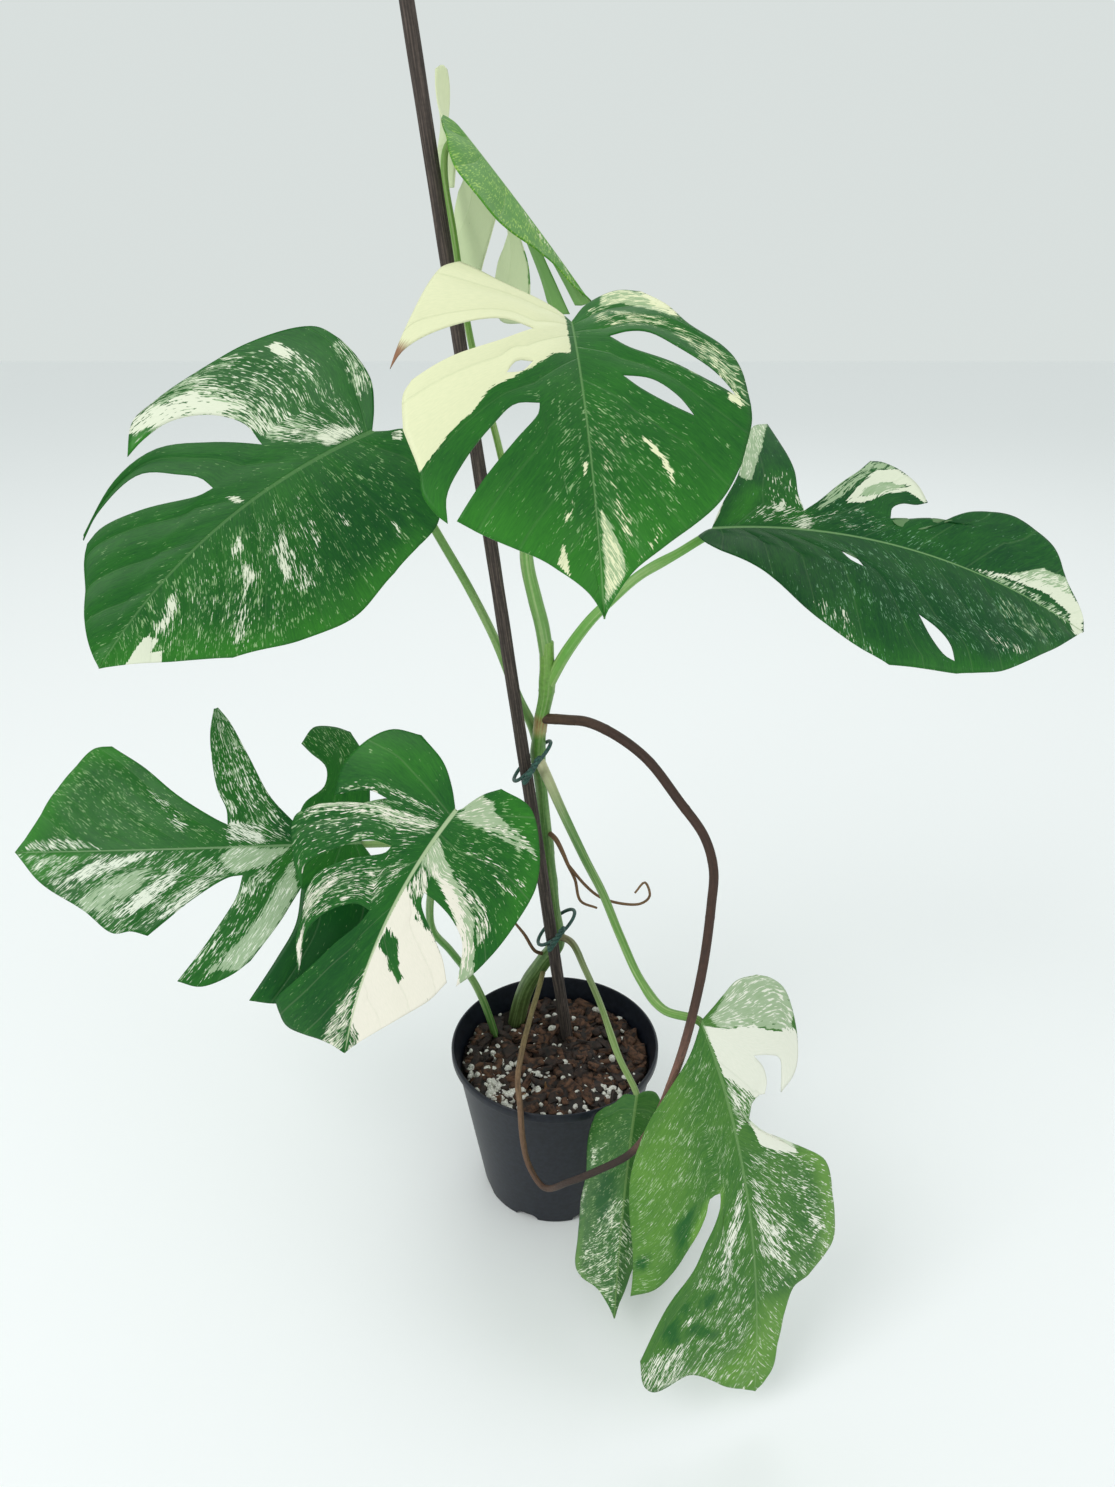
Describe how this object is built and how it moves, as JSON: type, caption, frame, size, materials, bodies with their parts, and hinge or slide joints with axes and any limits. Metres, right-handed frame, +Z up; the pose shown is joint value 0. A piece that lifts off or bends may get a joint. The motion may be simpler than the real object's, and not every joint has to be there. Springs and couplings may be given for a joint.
{
  "type": "potted monstera plant",
  "caption": "Potted climbing monstera with split, cream-marbled leaves on long stalks, a tied stake and a looping aerial root, in a round black nursery pot.",
  "frame": {"origin": "centre of the pot's underside, on the floor", "axes": "+Z up, +X to the viewer's right, +Y away from the viewer"},
  "size_m": [0.6666, 0.3025, 0.7755],
  "materials": {
    "pot_plastic": "satin black moulded plastic",
    "bark_mix": "rough bark and perlite",
    "stake_wood": "dull dark fibrous",
    "tie_plastic": "dull dark green",
    "stem": "satin green",
    "petiole": "satin green",
    "blade": "satin green with cream and mint variegation",
    "root": "dull brown"
  },
  "bodies": {
    "root": {"pot": "pot_plastic", "potting_mix": "bark_mix", "stake": "stake_wood", "main_stem": "stem", "tie_upper": "tie_plastic", "tie_lower": "tie_plastic", "petiole_crown": "petiole", "petiole_left": "petiole", "petiole_right": "petiole", "petiole_lowmid": "petiole", "petiole_lowleft": "petiole", "petiole_lowright": "petiole", "petiole_front": "petiole", "petiole_top": "petiole", "blade_crown": "blade", "blade_left": "blade", "blade_right": "blade", "blade_lowmid": "blade", "blade_lowleft": "blade", "blade_lowright": "blade", "blade_front": "blade", "blade_top": "blade", "long_aerial_root": "root", "fine_roots_upper": "root", "fine_roots_lower": "root"}
  },
  "joints": []
}
